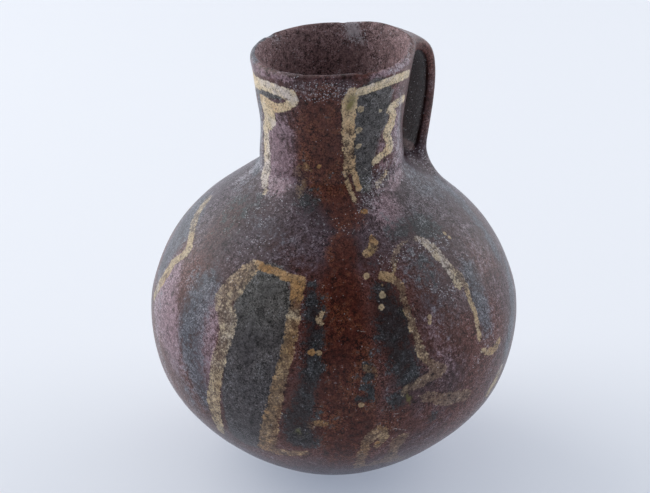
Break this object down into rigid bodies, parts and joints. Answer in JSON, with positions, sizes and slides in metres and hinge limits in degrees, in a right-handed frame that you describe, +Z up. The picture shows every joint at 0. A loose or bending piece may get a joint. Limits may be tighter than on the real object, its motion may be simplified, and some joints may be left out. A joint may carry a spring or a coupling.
{
  "type": "jug",
  "caption": "Round-bellied earthenware jug with a flaring neck, an open mouth and one strap handle from lip to shoulder, for holding and pouring drink.",
  "frame": {"origin": "centre of the flat foot, on the plane the jug stands on", "axes": "+Z up along the belly's axis, +X towards the handle"},
  "size_m": [0.16, 0.16, 0.1901],
  "materials": {
    "slipped_clay": "fired clay under a burnished dark red slip, satin and worn, with faded painted strokes"
  },
  "bodies": {
    "root": {"jug": "slipped_clay"}
  },
  "joints": []
}
